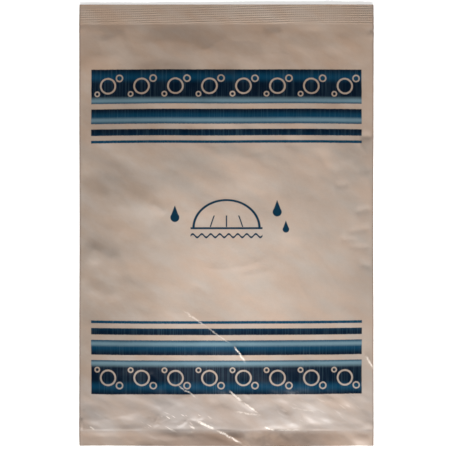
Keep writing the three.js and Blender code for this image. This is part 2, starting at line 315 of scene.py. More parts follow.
def fold_height(X, Y):
    H = np.zeros_like(X)
    for amp, wl, wr, soft, pts in FOLDS + loose_creases():
        path = spline(pts)
        r = 5 * max(wl, wr) * max(1.0, soft)
        lo, hi = path.min(0) - r, path.max(0) + r
        near = (X > lo[0]) & (X < hi[0]) & (Y > lo[1]) & (Y < hi[1])
        if not near.any():
            continue
        x, y = X[near], Y[near]
        seg = np.diff(path, axis=0)
        size = np.linalg.norm(seg, axis=1)
        start = np.concatenate([[0], np.cumsum(size)])
        best = np.full(x.shape, 1e9)
        side = np.zeros_like(best)
        along = np.zeros_like(best)
        for k in range(len(seg)):
            rx, ry = x - path[k, 0], y - path[k, 1]
            t = np.clip((rx * seg[k, 0] + ry * seg[k, 1]) / size[k] ** 2, 0, 1)
            d = np.hypot(rx - t * seg[k, 0], ry - t * seg[k, 1])
            new = d < best
            best[new] = d[new]
            side[new] = (seg[k, 0] * ry - seg[k, 1] * rx)[new]
            along[new] = (start[k] + t * size[k])[new]
        along /= start[-1]
        q = best / np.where(side > 0, wl, wr)
        rise = np.exp(soft - np.sqrt(q * q + soft * soft))
        H[near] += amp * rise * smooth(along / 0.3) * smooth((1 - along) / 0.3)
    for x, y, rx, ry, amp in SWELLS:
        H += amp * np.exp(-(((X - x) / rx) ** 2) - ((Y - y) / ry) ** 2)
    return H


def resample(G, rows, cols):
    """G at fractional rows and columns, through its points."""

    def along(A, t):
        n = A.shape[0]
        i = np.clip(np.floor(t).astype(int), 0, n - 2)
        f = (t - i).reshape((-1,) + (1,) * (A.ndim - 1))
        a, b, c, d = A[np.maximum(i - 1, 0)], A[i], A[i + 1], A[np.minimum(i + 2, n - 1)]
        return 0.5 * (2 * b + (c - a) * f + (2 * a - 5 * b + 4 * c - d) * f**2 + (3 * b - a - 3 * c + d) * f**3)

    return np.swapaxes(along(np.swapaxes(along(G, rows), 0, 1), cols), 0, 1)


def grid_normals(G):
    n = np.cross(np.gradient(G, axis=1), np.gradient(G, axis=0))
    return n / np.maximum(np.linalg.norm(n, axis=-1, keepdims=True), 1e-12)


FILM = solve_film(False)
FLAT = np.stack(flat_grid(1), -1)

# the sachet lies straight, and its side folds run evenly from seal to seal
left, right = FILM[0, :, 0, 0], FILM[0, :, -1, 0]
span = np.minimum(1.0, W / (right - left))
FILM[..., 0] = (FILM[..., 0] - (0.5 * (left + right))[None, :, None]) * span[None, :, None]
for side in (0, -1):
    edge = FILM[0, R_WELD : R_CRIMP + 1, side, 2].copy()
    edge[[0, -1]] = WELD_Z, crimp_level(FLAT[R_CRIMP, side, 0])
    for _ in range(500):
        edge[1:-1] = 0.25 * edge[:-2] + 0.5 * edge[1:-1] + 0.25 * edge[2:]
    FILM[:, R_WELD : R_CRIMP + 1, side, 2] = edge

# the back film falls from the weld and from the crimp towards the table
for k, sign in ((R_WELD, 1), (R_CRIMP, -1)):
    away = sign * (FLAT[..., 1] - FLAT[k, :, 1])
    cap = np.maximum(FILM[1, k, :, 2] - 0.06 - 0.24 * away, 0.06)
    use = (away > 0) * smooth((50.0 - np.abs(FLAT[..., 0])) / 4.0)
    FILM[1, ..., 2] += use * (np.minimum(FILM[1, ..., 2], cap) - FILM[1, ..., 2])

# the front film is taken off the solved film on finer rows, finest near the bottom
f_rows = np.concatenate(
    [
        np.linspace(0, R_LIP, 14)[:-1],
        np.linspace(R_LIP, 62, 109)[:-1],
        np.linspace(62, R_TEAR, 132)[:-1],
        np.linspace(R_TEAR, R_CRIMP, 27),
    ]
)
F_LIP, F_TEAR = 13, 13 + 108 + 131
f_cols = np.linspace(0, NX, 201)
FRONT = resample(FILM[0], f_rows, f_cols)
FRONT_UV = resample(FLAT, f_rows, f_cols)
u, v = FRONT_UV[..., 0], FRONT_UV[..., 1]


def relax(Z, low, share, times):
    """Evens out small waves of the heights Z above low, by the share given for each point."""
    for _ in range(times):
        near = 0.25 * (Z[:-2, 1:-1] + Z[2:, 1:-1] + Z[1:-1, :-2] + Z[1:-1, 2:])
        Z[1:-1, 1:-1] += share[1:-1, 1:-1] * (near - Z[1:-1, 1:-1])
        np.maximum(Z, low, out=Z)


# next to the crimp and the weld the film is drawn out nearly flat
ends = np.maximum(smooth((v - 44.0) / 10.0), smooth((-46.0 - v) / 10.0))
held = smooth((v + 69.7) / 0.3) * smooth((68.1 - v) / 0.5)
below = resample(FILM[1][..., 2], f_rows, f_cols) + 0.14 * smooth((50.0 - np.abs(u)) / 1.5)
below = np.where((v > -69.6) & (v < 68.1), below, 0.0)
relax(FRONT[..., 2], below, (0.12 + 0.88 * ends) * held, 90)
inset = smooth((50.0 - np.abs(u)) / 1.6) * smooth((68.2 - v) / 3.0)
at_weld = 0.25 + 0.75 * smooth((np.abs(v + 69.7) - 0.2) / 2.4)
marks = fold_height(u, v) * (1 - 0.30 * smooth((u - 30.0) / 8.0))


def crumple(cell, seed):
    """Waves drawn out along the diagonal that most of the folds follow."""
    c, d = np.cos(np.radians(-24)), np.sin(np.radians(-24))
    return lattice_noise((u * c + v * d) / 1.8, -u * d + v * c, cell, seed)


upper = 0.55 + 0.80 * np.maximum(smooth((v + 2.0) / 26.0), 0.6 * smooth((-u - 14.0) / 14.0))
upper *= 1 - 0.28 * smooth((v - 38.0) / 12.0)
foot = smooth((-50.0 - v) / 9.0)
marks += upper * (0.43 * crumple(11.0, 101) + 0.21 * crumple(5.5, 102) + 0.08 * crumple(2.6, 103))
marks += foot * (0.36 * crumple(6.0, 104) + 0.26 * crumple(3.4, 105) + 0.11 * crumple(1.9, 106))
lip_part = smooth((-69.7 - v) / 0.8)
marks += lip_part * (0.30 * crumple(6.5, 107) + 0.16 * crumple(3.0, 108))
# it rises slowly from the weld, with no roll along it
rise = v + 69.7
by_weld = smooth(rise / 0.5) * smooth((11.0 - rise) / 4.0)
FRONT[..., 2] -= 0.9 * by_weld * np.maximum(FRONT[..., 2] - (2.02 + 0.16 * rise), 0.0)
FRONT[..., 2] += inset * at_weld * marks
FRONT[..., 2] -= 0.45 * by_weld * np.maximum(FRONT[..., 2] - (2.06 + 0.17 * rise), 0.0)
FRONT[..., 2] = np.maximum(FRONT[..., 2], below)


def lip_shape(P, uv, lift):
    """Lays the loose lip below the weld straight out, waving up and down along its edge."""
    u, v = uv[..., 0], uv[..., 1]
    root = np.argmin(np.abs(v[:, 0] + 69.7))
    t = np.clip((-69.7 - v) / 5.3, 0, 1.05)
    wave = 1.7 * np.exp(-(((u - 19.0) / 14.0) ** 2)) + 0.6 * np.exp(-(((u + 20.0) / 6.0) ** 2))
    wave += 0.25 * lattice_noise(u, 0.0, 11.0, 111) + 0.10 * lattice_noise(u, v, 4.0, 112)
    wave += 0.35 - 1.7 * smooth((-24.0 - u) / 16.0) - 1.0 * smooth((u - 32.0) / 12.0)
    z = P[root, :, 2] + (0.10 + 0.55 * wave) * t**1.4 + lift * t
    on = v < -69.75
    P[..., 2] = np.where(on, z, P[..., 2])
    P[..., 1] = np.where(on, v, P[..., 1])
    P[..., 0] = np.where(on, P[root, :, 0], P[..., 0])


lip_shape(FRONT, FRONT_UV, 0.05)
part = (v < -69.75) & (v > -75.5)
FRONT[..., 2] += np.where(part, inset * at_weld * 0.9 * marks, 0.0)
N_FRONT = grid_normals(FRONT)
BACK = FILM[1][: R_CRIMP + 1].copy()
BACK_UV = FLAT[: R_CRIMP + 1]
lip_shape(BACK, BACK_UV, -0.25)
lip_rows = np.arange(R_WELD)
above = resample(FRONT[..., 2], np.interp(lip_rows, f_rows, np.arange(len(f_rows))), np.linspace(0, 200, NX + 1))
drop = 0.12 + 0.35 * np.clip((-69.7 - BACK_UV[:R_WELD, :, 1]) / 5.3, 0, 1)
BACK[:R_WELD, :, 2] = above - drop
N_BACK = -grid_normals(BACK)


# ------------------------------------------------------------------- meshes
def make_object(name, verts_mm, faces, mats, mat_index=None, uv=None, normals=None):
    me = bpy.data.meshes.new(name)
    me.from_pydata((np.asarray(verts_mm, float) * MM).tolist(), [], np.asarray(faces).tolist())
    me.polygons.foreach_set("use_smooth", np.ones(len(me.polygons), bool))
    for m in mats:
        me.materials.append(m)
    if mat_index is not None:
        me.polygons.foreach_set("material_index", np.asarray(mat_index, np.int32))
    if uv is not None:
        layer = me.uv_layers.new(name="film")
        corner = np.zeros(len(me.loops), np.int32)
        me.loops.foreach_get("vertex_index", corner)
        layer.uv.foreach_set("vector", np.asarray(uv, np.float32)[corner].ravel())
    me.update()
    if normals is not None:
        me.normals_split_custom_set_from_vertices(np.asarray(normals, float).tolist())
    ob = bpy.data.objects.new(name, me)
    bpy.context.scene.collection.objects.link(ob)
    return ob


def grid_faces(rows, cols, base=0, flip=False, wrap=False):
    """Quads of a grid of points numbered row by row."""
    r = np.arange(rows - 1)[:, None]
    c = np.arange(cols if wrap else cols - 1)[None, :]
    c2 = (c + 1) % cols
    a, b = r * cols + c, r * cols + c2
    q = np.stack([a, b, b + cols, a + cols], -1).reshape(-1, 4) + base
    return q[:, ::-1] if flip else q


def film_leaf(name, pos, nor, uv, flip, mats):
    """A wall of film as a closed shell of film thickness, outer side first."""
    rows, cols = pos.shape[:2]
    n = rows * cols
    inner = pos - nor * FILM_T
    faces = [grid_faces(rows, cols, 0, flip), grid_faces(rows, cols, n, not flip)]
    index = [np.zeros(len(faces[0]), int), np.ones(len(faces[1]), int)]
    rim = np.concatenate(
        [
            np.arange(cols),
            np.arange(2 * cols - 1, n, cols),
            np.arange(n - 2, n - cols - 1, -1),
            np.arange(n - 2 * cols, 0, -cols),
        ]
    )
    nxt = np.roll(rim, -1)
    walls = np.stack([rim, rim + n, nxt + n, nxt], -1)
    faces.append(walls[:, ::-1] if flip else walls)
    index.append(np.ones(len(walls), int))
    flat = (uv / (W, L) + 0.5).reshape(-1, 2)
    return make_object(
        name,
        np.concatenate([pos.reshape(-1, 3), inner.reshape(-1, 3)]),
        np.concatenate(faces),
        mats,
        np.concatenate(index),
        np.concatenate([flat, flat]),
        np.concatenate([nor.reshape(-1, 3), -nor.reshape(-1, 3)]),
    )


# ---------------------------------------------------------------- materials
def srgb(r, g, b):
    c = np.array([r, g, b], float) / 255.0
    c = np.where(c <= 0.04045, c / 12.92, ((c + 0.055) / 1.055) ** 2.4)
    return (*c.tolist(), 1.0)


class Net:
    """Short names for building a material's node tree."""

    def __init__(self, name):
        self.mat = bpy.data.materials.new(name)
        self.mat.use_nodes = True
        self.tree = self.mat.node_tree
        self.tree.nodes.clear()
        self.out = self.tree.nodes.new("ShaderNodeOutputMaterial")
        self.bsdf = self.tree.nodes.new("ShaderNodeBsdfPrincipled")
        self.link(self.bsdf.outputs[0], self.out.inputs["Surface"])

    def link(self, a, b):
        self.tree.links.new(a, b)

    def put(self, socket, value):
        if hasattr(value, "is_output"):
            self.link(value, socket)
        else:
            socket.default_value = value

    def m(self, op, a, b=0.0, c=0.0):
        n = self.tree.nodes.new("ShaderNodeMath")
        n.operation = op
        for s, v in zip(n.inputs, (a, b, c)):
            self.put(s, v)
        return n.outputs[0]

    def add(self, a, b):
        return self.m("ADD", a, b)

    def sub(self, a, b):
        return self.m("SUBTRACT", a, b)

    def mul(self, a, b):
        return self.m("MULTIPLY", a, b)

    def absv(self, a):
        return self.m("ABSOLUTE", a)

    def sin(self, a):
        return self.m("SINE", a)

    def step(self, a, lo, hi):
        """0 below lo, 1 above hi, smooth between; lo may be above hi."""
        n = self.tree.nodes.new("ShaderNodeMapRange")
        n.interpolation_type = "SMOOTHSTEP"
        self.put(n.inputs["Value"], a)
        if lo < hi:
            vals = (lo, hi, 0.0, 1.0)
        else:
            vals = (hi, lo, 1.0, 0.0)
        for s, v in zip(("From Min", "From Max", "To Min", "To Max"), vals):
            n.inputs[s].default_value = v
        return n.outputs["Result"]

    def mix(self, fac, a, b):
        n = self.tree.nodes.new("ShaderNodeMix")
        n.data_type = "RGBA"
        self.put(n.inputs[0], fac)
        self.put(n.inputs[6], a)
        self.put(n.inputs[7], b)
        return n.outputs[2]

    def times(self, a, b):
        n = self.tree.nodes.new("ShaderNodeMix")
        n.data_type = "RGBA"
        n.blend_type = "MULTIPLY"
        n.inputs[0].default_value = 1.0
        self.put(n.inputs[6], a)
        self.put(n.inputs[7], b)
        return n.outputs[2]

    def ramp(self, fac, stops, mode="EASE"):
        n = self.tree.nodes.new("ShaderNodeValToRGB")
        n.color_ramp.interpolation = mode
        e = n.color_ramp.elements
        while len(e) > 1:
            e.remove(e[-1])
        for k, (p, c) in enumerate(stops):
            el = e[0] if k == 0 else e.new(p)
            el.position, el.color = p, c
        self.put(n.inputs[0], fac)
        return n.outputs[0]

    def noise(self, vec, scale, detail=2.0, rough=0.5):
        n = self.tree.nodes.new("ShaderNodeTexNoise")
        n.inputs["Scale"].default_value = scale
        n.inputs["Detail"].default_value = detail
        n.inputs["Roughness"].default_value = rough
        self.put(n.inputs["Vector"], vec)
        return n.outputs[0]

    def scaled(self, vec, s):
        n = self.tree.nodes.new("ShaderNodeVectorMath")
        n.operation = "MULTIPLY"
        self.put(n.inputs[0], vec)
        n.inputs[1].default_value = s
        return n.outputs[0]

    def coords(self):
        """The flat film's own X and Y in millimetres, and both as a vector."""
        n = self.tree.nodes.new("ShaderNodeUVMap")
        n.uv_map = "film"
        v = self.tree.nodes.new("ShaderNodeVectorMath")
        v.operation = "MULTIPLY_ADD"
        self.link(n.outputs[0], v.inputs[0])
        v.inputs[1].default_value = (W, L, 0)
        v.inputs[2].default_value = (-W / 2, -L / 2, 0)
        s = self.tree.nodes.new("ShaderNodeSeparateXYZ")
        self.link(v.outputs[0], s.inputs[0])
        return s.outputs[0], s.outputs[1], v.outputs[0]

    def bump(self, height, strength, distance):
        n = self.tree.nodes.new("ShaderNodeBump")
        n.inputs["Strength"].default_value = strength
        n.inputs["Distance"].default_value = distance
        self.put(n.inputs["Height"], height)
        self.link(n.outputs[0], self.bsdf.inputs["Normal"])


def lerp(a, b, t):
    return tuple(x + (y - x) * t for x, y in zip(a, b))


FILM_LIGHT = srgb(153, 140, 129)
FILM_DARK = srgb(139, 126, 115)
FILM_WARM = srgb(161, 143, 128)
FILM_WARM_DARK = srgb(147, 129, 115)
FILM_EDGE_SHADE = srgb(98, 81, 72)
FILM_WORN = srgb(141, 131, 124)
FILM_GREY = srgb(153, 142, 134)
FILM_LIP = srgb(154, 138, 126)
FILM_LIP_SHADE = srgb(133, 117, 106)
FILM_CRIMP = srgb(163, 145, 130)


def film_base(n, x, y, vec):
    """Milky film: soft cloudiness at two scales, warmer towards the crimp, with painted shade: a dark line along the
    side folds and browner, darker patches over the shaded folds.
    """
    cloud = n.noise(vec, 0.035, 3.0, 0.55)
    fine = n.noise(vec, 0.6, 2.0, 0.6)
    t = n.add(n.mul(cloud, 0.85), n.mul(fine, 0.15))
    col = n.ramp(t, [(0.30, FILM_DARK), (0.70, FILM_LIGHT)], "LINEAR")
    warm = n.ramp(t, [(0.30, FILM_WARM_DARK), (0.70, FILM_WARM)], "LINEAR")
    col = n.mix(n.step(n.add(y, n.mul(cloud, 20.0)), 25.0, 70.0), col, warm)
    # greyer by the weld, where the film has been handled most, and warmer again on the lip
    worn = n.step(n.add(y, n.mul(cloud, 10.0)), -42.0, -58.0)
    col = n.mix(worn, col, n.mix(n.step(n.absv(n.add(x, 6.0)), 34.0, 10.0), FILM_GREY, FILM_WORN))
    col = n.mix(n.step(y, 67.8, 68.6), col, FILM_CRIMP)
    # painted shade: darker patches across the middle of the lip, where the lip bends away from the light
    lip_bend_shade = n.mul(n.step(n.absv(n.sub(x, 5.0)), 40.0, 20.0), n.step(n.noise(vec, 0.09, 3.0, 0.6), 0.30, 0.52))
    lip_col = n.mix(lip_bend_shade, FILM_LIP, FILM_LIP_SHADE)
    col = n.mix(n.step(n.add(y, n.mul(n.sub(fine, 0.5), 1.2)), -69.3, -71.4), col, lip_col)
    # painted shade: the tint drifts in patches set over the shaded folds, browner and a little darker there; in the
    # middle only the hue drifts
    along = n.tree.nodes.new("ShaderNodeCombineXYZ")
    n.link(n.add(n.add(n.mul(x, 0.050), n.mul(y, -0.028)), 25.6), along.inputs[0])
    n.link(n.add(n.add(n.mul(x, 0.070), n.mul(y, 0.120)), -17.9), along.inputs[1])
    along.inputs[2].default_value = -9.9
    fold_shade_tone = n.noise(along.outputs[0], 1.0, 4.0, 0.62)
    middle = n.ramp(fold_shade_tone, [(0.36, (1.0, 0.930, 0.885, 1)), (0.64, (0.945, 0.975, 1.0, 1))], "LINEAR")
    outer = n.ramp(fold_shade_tone, [(0.36, (0.900, 0.842, 0.794, 1)), (0.64, (0.952, 0.976, 1.0, 1))], "LINEAR")
    outer = n.times(outer, (1.06, 1.06, 1.06, 1))
    where = n.m("MAXIMUM", n.step(x, -8.0, -30.0), n.m("MAXIMUM", n.step(y, 26.0, 44.0), n.step(y, -48.0, -58.0)))
    col = n.times(col, n.mix(where, middle, outer))
    # painted shade: a thin dark line along both side folds, where the film turns down
    return n.mix(n.mul(n.step(n.absv(x), 49.3, 49.9), 0.5), col, FILM_EDGE_SHADE)


# Painted glints along the sharpest creases: ends in millimetres, half width, strength.
PAINTED_GLINTS = [
    ((0.6, -55.6), (5.6, -59.6), 0.28, 0.9),
    ((4.9, -59.2), (11.1, -63.6), 0.22, 0.7),
    ((-10.4, -66.2), (-3.6, -69.4), 0.34, 1.0),
    ((-4.2, -69.0), (5.8, -74.4), 0.26, 0.9),
    ((2.2, -40.2), (6.6, -46.4), 0.20, 0.7),
    ((47.2, -43.8), (50.2, -49.2), 0.22, 0.8),
    ((12.6, -68.2), (16.6, -69.8), 0.26, 0.9),
    ((16.0, -69.5), (26.0, -69.7), 0.16, 0.6),
    ((-15.2, -28.0), (-6.0, -34.6), 0.16, 0.35),
    ((-7.0, -33.8), (1.6, -40.0), 0.16, 0.35),
    ((-17.0, -53.6), (-9.4, -58.6), 0.18, 0.5),
    ((2.0, -62.8), (12.4, -64.4), 0.20, 0.4),
    ((-46.4, -67.8), (-44.8, -69.6), 0.26, 0.9),
    ((20.6, -61.2), (31.0, -63.4), 0.18, 0.25),
]


def painted_glint_lines(n, x, y, vec):
    """Thin broken painted glints along the sharpest creases, and fine painted glint streaks by the weld: cover."""
    wob = n.mul(n.sub(n.noise(vec, 0.45, 3.0, 0.6), 0.5), 1.5)
    broken = n.step(n.noise(vec, 1.3, 3.0, 0.7), 0.36, 0.56)
    total = None
    for (x0, y0), (x1, y1), half, power in PAINTED_GLINTS:
        size = float(np.hypot(x1 - x0, y1 - y0))
        tx, ty = (x1 - x0) / size, (y1 - y0) / size
        dx, dy = n.sub(x, x0), n.sub(y, y0)
        along = n.add(n.mul(dx, tx), n.mul(dy, ty))
        across = n.add(n.add(n.mul(dx, -ty), n.mul(dy, tx)), wob)
        line = n.step(n.absv(across), half + 0.22, half - 0.14)
        line = n.mul(line, n.mul(n.step(along, 0.0, 0.3 * size), n.step(along, size, 0.7 * size)))
        line = n.mul(line, power)
        total = line if total is None else n.m("MAXIMUM", total, line)
    total = n.mul(total, n.m("MULTIPLY_ADD", broken, 0.8, 0.2))
    # painted glints: short fine streaks along the diagonal, in two crinkled patches
    turned = n.add(n.mul(x, 0.86), n.mul(y, -0.51)), n.add(n.mul(x, 0.51), n.mul(y, 0.86))
    both = n.tree.nodes.new("ShaderNodeCombineXYZ")
    n.link(n.mul(turned[0], 0.22), both.inputs[0])
    n.link(n.mul(turned[1], 1.15), both.inputs[1])
    glint_streaks = n.step(n.noise(both.outputs[0], 1.0, 1.0, 0.5), 0.64, 0.72)
    patch = n.mul(n.step(n.absv(n.add(x, 17.0)), 14.0, 6.0), n.step(n.absv(n.add(y, 66.6)), 4.2, 1.8))
    right = n.mul(n.step(n.absv(n.sub(x, 32.0)), 20.0, 8.0), n.step(n.absv(n.add(y, 62.0)), 7.0, 2.5))
    where = n.m("MAXIMUM", n.mul(patch, 0.8), n.mul(right, 0.14))
    return n.m("MAXIMUM", total, n.mul(glint_streaks, where))


def film_finish(n, vec):
    n.bsdf.inputs["Specular IOR Level"].default_value = 0.15
    rough = n.noise(vec, 0.25, 3.0, 0.6)
    r = n.tree.nodes.new("ShaderNodeMapRange")
    n.put(r.inputs["Value"], rough)
    r.inputs["From Min"].default_value, r.inputs["From Max"].default_value = 0.25, 0.75
    r.inputs["To Min"].default_value, r.inputs["To Max"].default_value = 0.285, 0.35
    n.link(r.outputs["Result"], n.bsdf.inputs["Roughness"])
    n.bump(n.noise(vec, 1.1, 4.0, 0.6), 0.12, 0.0004)


def plain_film():
    n = Net("plain_film")
    x, y, vec = n.coords()
    n.put(n.bsdf.inputs["Base Color"], film_base(n, x, y, vec))
    film_finish(n, vec)
    return n.mat


def stripe_block(n, x, y, vec, edge, sign, tones):
    """Straight stripes that thin out towards the middle, with rings in the widest: (colour, cover)."""
    ragged = n.mul(n.sub(n.noise(vec, 1.3, 2.0, 0.6), 0.5), 0.22)
    t = n.add(n.mul(n.sub(y, edge), -sign), ragged)
    deep, mid, pale = tones
    col = n.ramp(
        n.mul(t, 1 / 26.0),
        [
            (0.00, deep),
            (0.10, mid),
            (0.19, deep),
            (0.34, deep),
            (0.41, pale),
            (0.45, mid),
            (0.53, deep),
            (0.61, mid),
            (0.66, pale),
            (0.71, mid),
            (0.80, deep),
            (0.92, mid),
        ],
    )
    streak = n.noise(n.scaled(vec, (2.6, 0.05, 1.0)), 1.0, 2.0, 0.6)
    col = n.mix(n.mul(n.step(streak, 0.46, 0.74), 0.16), col, pale)
    e = 0.10

    def bar(lo, hi):
        return n.mul(n.step(t, lo - e, lo + e), n.step(t, hi + e, hi - e))

    cover = bar(0.0, 11.6)
    for lo, hi in ((13.4, 18.4), (20.2, 22.4), (24.0, 24.9)):
        cover = n.m("MAXIMUM", cover, bar(lo, hi))
    cell = 11.45
    cx = n.sub(n.m("FLOORED_MODULO", n.add(x, cell * 4), cell), cell / 2)
    holes = None
    for ox, ot, r, half in ((0.0, 5.6, 2.5, 0.30), (3.9, 3.0, 1.05, 0.24), (-3.7, 8.3, 0.75, 0.24)):
        dx, dt = n.sub(cx, ox), n.sub(t, ot)
        rr = n.m("SQRT", n.add(n.mul(dx, dx), n.mul(dt, dt)))
        ring = n.step(n.absv(n.sub(rr, r)), half + e, half - e)
        holes = ring if holes is None else n.m("MAXIMUM", holes, ring)
    cover = n.mul(cover, n.m("SUBTRACT", 1.0, n.mul(holes, 0.85)))
    specks = n.step(n.noise(vec, 2.4, 2.0, 0.7), 0.74, 0.80)
    cover = n.mul(cover, n.m("SUBTRACT", 1.0, n.mul(specks, 0.5)))
    side = n.step(n.absv(x), 46.0, 45.7)
    return col, n.mul(cover, side)


def pictogram(n, x, y):
    """A plain cap outline with a gathered brim and three drops: cover."""
    e = 0.12

    def line(dist, half):
        return n.step(n.absv(dist), half + e, half - e)

    def within(v, lim):
        return n.step(n.absv(v), lim + e, lim - e)

    # dome
    yy = n.add(y, 2.0)
    q = n.m(
        "SQRT",
        n.add(n.m("POWER", n.mul(x, 1 / 11.0), 2.0), n.m("POWER", n.mul(yy, 1 / 9.4), 2.0)),
    )
    ring = n.mul(line(n.mul(n.sub(q, 1.0), 9.8), 0.36), n.step(yy, -0.1, 0.1))
    # three gathers up the dome
    for k in (-0.5, 0.0, 0.5):
        bow = n.mul(n.m("POWER", n.m("MULTIPLY_ADD", yy, -1 / 9.4, 1.0), 0.5), 11.0 * k)
        g = n.mul(line(n.sub(x, bow), 0.22), n.mul(n.step(yy, 0.3, 0.5), n.step(yy, 4.4, 4.1)))
        ring = n.m("MAXIMUM", ring, g)
    # brim
    top = n.mul(line(n.add(y, 2.0), 0.34), within(x, 12.0))
    wavy = n.mul(n.sin(n.mul(x, 2 * np.pi / 3.0)), 0.55)
    low = n.mul(line(n.sub(n.add(y, 4.5), wavy), 0.34), within(x, 12.0))
    ring = n.m("MAXIMUM", ring, n.m("MAXIMUM", top, low))
    # drops
    for cx, cy, r in ((-17.2, 1.6, 1.5), (16.9, 3.4, 1.5), (19.8, -2.4, 1.1)):
        dx, dy = n.sub(x, cx), n.sub(y, cy)
        rr = n.m("SQRT", n.add(n.mul(dx, dx), n.mul(dy, dy)))
        ball = n.step(rr, r + e, r - e)
        taper = n.m("MULTIPLY_ADD", dy, -r / (2.7 * r), r * 1.0)
        cone = n.mul(
            n.step(n.sub(n.absv(dx), taper), e, -e),
            n.mul(n.step(dy, 0.0, 0.1), n.step(dy, 2.7 * r, 2.6 * r)),
        )
        ring = n.m("MAXIMUM", ring, n.m("MAXIMUM", ball, cone))
    return ring


def printed_film():
    n = Net("printed_film")
    x, y, vec = n.coords()
    col = film_base(n, x, y, vec)
    tones = (srgb(0, 13, 28), srgb(2, 44, 65), srgb(86, 108, 117))
    for edge, sign in ((52.5, 1), (-57.0, -1)):
        c, cover = stripe_block(n, x, y, vec, edge, sign, tones)
        col = n.mix(cover, col, c)
    col = n.mix(pictogram(n, x, n.sub(y, 1.0)), col, srgb(4, 34, 50))
    # painted highlights: pale glint lines over the film and the print
    col = n.mix(painted_glint_lines(n, x, y, vec), col, srgb(206, 196, 186))
    n.put(n.bsdf.inputs["Base Color"], col)
    film_finish(n, vec)
    return n.mat


def cap_film_material():
    n = Net("cap_film")
    tc = n.tree.nodes.new("ShaderNodeTexCoord")
    vec = n.scaled(tc.outputs["Object"], (1000.0, 1000.0, 1000.0))
    cloud = n.noise(vec, 0.12, 3.0, 0.6)
    n.put(
        n.bsdf.inputs["Base Color"],
        n.ramp(cloud, [(0.3, srgb(186, 193, 196)), (0.7, srgb(212, 216, 217))], "LINEAR"),
    )
    n.bsdf.inputs["Specular IOR Level"].default_value = 0.5
    r = n.tree.nodes.new("ShaderNodeMapRange")
    n.put(r.inputs["Value"], n.noise(vec, 0.5, 2.0, 0.5))
    r.inputs["To Min"].default_value, r.inputs["To Max"].default_value = 0.29, 0.5
    n.link(r.outputs["Result"], n.bsdf.inputs["Roughness"])
    n.bsdf.inputs["Subsurface Weight"].default_value = 0.0
    n.bump(n.noise(vec, 0.9, 4.0, 0.65), 0.25, 0.0004)
    return n.mat


def elastic_material():
    n = Net("elastic")
    tc = n.tree.nodes.new("ShaderNodeTexCoord")
    vec = n.scaled(tc.outputs["Object"], (1000.0, 1000.0, 1000.0))
    w = n.noise(n.scaled(vec, (6.0, 0.6, 0.6)), 1.0, 2.0, 0.5)
    n.put(
        n.bsdf.inputs["Base Color"],
        n.ramp(w, [(0.35, srgb(178, 173, 162)), (0.65, srgb(208, 204, 196))], "LINEAR"),
    )
    n.bsdf.inputs["Roughness"].default_value = 0.62
    n.bump(w, 0.4, 0.0002)
    return n.mat


def weld_material():
    n = Net("weld")
    x, y, vec = n.coords()
    t = n.noise(vec, 0.5, 3.0, 0.6)
    n.put(
        n.bsdf.inputs["Base Color"],
        n.ramp(t, [(0.3, srgb(136, 123, 113)), (0.7, srgb(160, 147, 137))], "LINEAR"),
    )
    n.bsdf.inputs["Roughness"].default_value = 0.34
    n.bsdf.inputs["Specular IOR Level"].default_value = 0.3
    n.bump(n.noise(vec, 2.0, 3.0, 0.6), 0.2, 0.0002)
    return n.mat


WELD_MAT = weld_material()
PRINTED = printed_film()
PLAIN = plain_film()
CAP_MAT = cap_film_material()
ELASTIC_MAT = elastic_material()


# -------------------------------------------------------------- sachet film
PR, PL = [PRINTED, PLAIN], [PLAIN, PLAIN]
front = film_leaf(
    "front_film_skin", FRONT[F_LIP : F_TEAR + 1], N_FRONT[F_LIP : F_TEAR + 1], FRONT_UV[F_LIP : F_TEAR + 1], False, PR
)
lip = film_leaf("front_lip_skin", FRONT[: F_LIP + 1], N_FRONT[: F_LIP + 1], FRONT_UV[: F_LIP + 1], False, PR)
strip_front = film_leaf("strip_front_skin", FRONT[F_TEAR:], N_FRONT[F_TEAR:], FRONT_UV[F_TEAR:], False, PR)
back = film_leaf("back_film_skin", BACK[: R_TEAR + 1], N_BACK[: R_TEAR + 1], BACK_UV[: R_TEAR + 1], True, PL)
strip_back = film_leaf("strip_back_skin", BACK[R_TEAR:], N_BACK[R_TEAR:], BACK_UV[R_TEAR:], True, PL)


